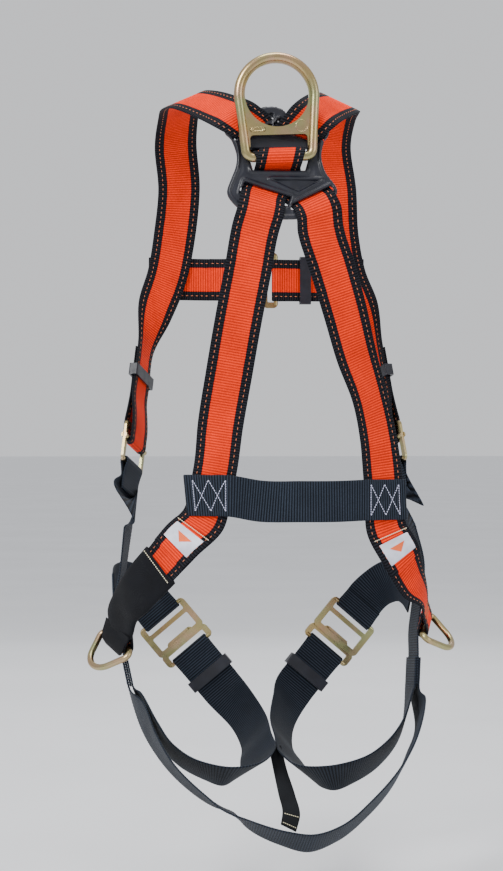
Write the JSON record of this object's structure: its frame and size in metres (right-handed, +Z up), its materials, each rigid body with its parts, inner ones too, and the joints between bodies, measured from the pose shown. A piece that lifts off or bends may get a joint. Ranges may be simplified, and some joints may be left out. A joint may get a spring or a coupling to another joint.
{
  "type": "full-body safety harness",
  "caption": "Full-body fall-arrest harness in its worn shape: crossed shoulder webbing, dorsal ring on a back plate, hip rings, chest and leg buckles, seat strap.",
  "frame": {"origin": "centre of the wearer's torso at the height of the lumbar strap", "axes": "+X the wearer's right, +Y the wearer's front, +Z up"},
  "size_m": [0.3696, 0.2807, 0.7659],
  "materials": {
    "orange_webbing": "woven polyester, orange centre between black edge bands",
    "grey_webbing": "woven polyester, charcoal with cross ribs",
    "black_fabric": "close-woven black cloth",
    "label_fabric": "smooth white woven label",
    "zinc_steel": "yellow-passivated zinc plate",
    "black_plastic": "satin moulded plastic"
  },
  "bodies": {
    "harness": {"main_strap_left_shoulder": "orange_webbing", "main_strap_right_shoulder": "orange_webbing", "lumbar_cross_strap": "grey_webbing", "seat_strap": "grey_webbing", "chest_strap_left": "grey_webbing", "chest_strap_right": "grey_webbing", "side_strap_left": "grey_webbing", "side_strap_right": "grey_webbing", "leg_strap_left": "grey_webbing", "leg_strap_right": "grey_webbing", "leg_buckle_strap_left": "grey_webbing", "leg_buckle_strap_right": "grey_webbing", "crotch_link": "black_fabric", "label_sleeve": "black_fabric", "fall_indicator_fold_left": "orange_webbing", "fall_indicator_label_left": "label_fabric", "side_adjuster_frame_left": "zinc_steel", "leg_buckle_receiver_left": "zinc_steel", "fall_indicator_fold_right": "orange_webbing", "fall_indicator_label_right": "label_fabric", "side_adjuster_frame_right": "zinc_steel", "leg_buckle_receiver_right": "zinc_steel", "chest_buckle_receiver": "zinc_steel", "dorsal_plate": "black_plastic"},
    "dorsal_ring": {"dorsal_d_ring": "zinc_steel"},
    "chest_tongue": {"chest_buckle_tongue": "zinc_steel"},
    "chest_keeper": {"chest_strap_keeper": "black_plastic"},
    "hip_ring_left": {"hip_d_ring_left": "zinc_steel"},
    "adjuster_bar_left": {"side_adjuster_bar_left": "zinc_steel"},
    "side_keeper_left": {"side_tail_keeper_left": "black_plastic"},
    "leg_tongue_left": {"leg_buckle_tongue_left": "zinc_steel"},
    "leg_keeper_left": {"leg_tail_keeper_left": "black_plastic"},
    "hip_ring_right": {"hip_d_ring_right": "zinc_steel"},
    "adjuster_bar_right": {"side_adjuster_bar_right": "zinc_steel"},
    "side_keeper_right": {"side_tail_keeper_right": "black_plastic"},
    "leg_tongue_right": {"leg_buckle_tongue_right": "zinc_steel"},
    "leg_keeper_right": {"leg_tail_keeper_right": "black_plastic"}
  },
  "joints": [
    {"name": "dorsal_ring_swing", "type": "hinge", "parent": "harness", "child": "dorsal_ring", "pos_m": [0.001, -0.12489, 0.32941], "axis": [0.999, 0.0068, 0.0431], "range_deg": [0, 150]},
    {"name": "hip_ring_swing_left", "type": "hinge", "parent": "harness", "child": "hip_ring_left", "pos_m": [-0.151, -0.046, -0.139], "axis": [0.4429, -0.8329, -0.3318], "range_deg": [-25, 50]},
    {"name": "adjuster_bar_slide_left", "type": "slide", "parent": "harness", "child": "adjuster_bar_left", "axis": [0.1206, 0.2986, 0.9467], "range_m": [0, 0.004]},
    {"name": "side_keeper_slide_left", "type": "slide", "parent": "harness", "child": "side_keeper_left", "axis": [0.1206, 0.2986, 0.9467], "range_m": [-0.012, 0.012]},
    {"name": "leg_tongue_lift_left", "type": "hinge", "parent": "harness", "child": "leg_tongue_left", "pos_m": [-0.072, 0.09, -0.164], "axis": [-0.7517, 0.1191, -0.6487], "range_deg": [0, 45]},
    {"name": "leg_keeper_slide_left", "type": "slide", "parent": "harness", "child": "leg_keeper_left", "axis": [0.6407, -0.1015, -0.7611], "range_m": [-0.004, 0.006]},
    {"name": "hip_ring_swing_right", "type": "hinge", "parent": "harness", "child": "hip_ring_right", "pos_m": [0.157, -0.037, -0.126], "axis": [0.2611, 0.9105, 0.3205], "range_deg": [-25, 42]},
    {"name": "adjuster_bar_slide_right", "type": "slide", "parent": "harness", "child": "adjuster_bar_right", "axis": [-0.1206, 0.2986, 0.9467], "range_m": [0, 0.004]},
    {"name": "side_keeper_slide_right", "type": "slide", "parent": "harness", "child": "side_keeper_right", "axis": [-0.1206, 0.2986, 0.9467], "range_m": [-0.012, 0.012]},
    {"name": "leg_tongue_lift_right", "type": "hinge", "parent": "harness", "child": "leg_tongue_right", "pos_m": [0.072, 0.09, -0.164], "axis": [-0.7517, -0.1191, 0.6487], "range_deg": [0, 45]},
    {"name": "leg_keeper_slide_right", "type": "slide", "parent": "harness", "child": "leg_keeper_right", "axis": [-0.6407, -0.1015, -0.7611], "range_m": [-0.004, 0.006]},
    {"name": "chest_tongue_lift", "type": "hinge", "parent": "harness", "child": "chest_tongue", "pos_m": [0.022, 0.1211, 0.232], "axis": [0, 0, -1], "range_deg": [0, 45]},
    {"name": "chest_keeper_slide", "type": "slide", "parent": "harness", "child": "chest_keeper", "axis": [1, 0, 0], "range_m": [-0.004, 0.006]}
  ]
}
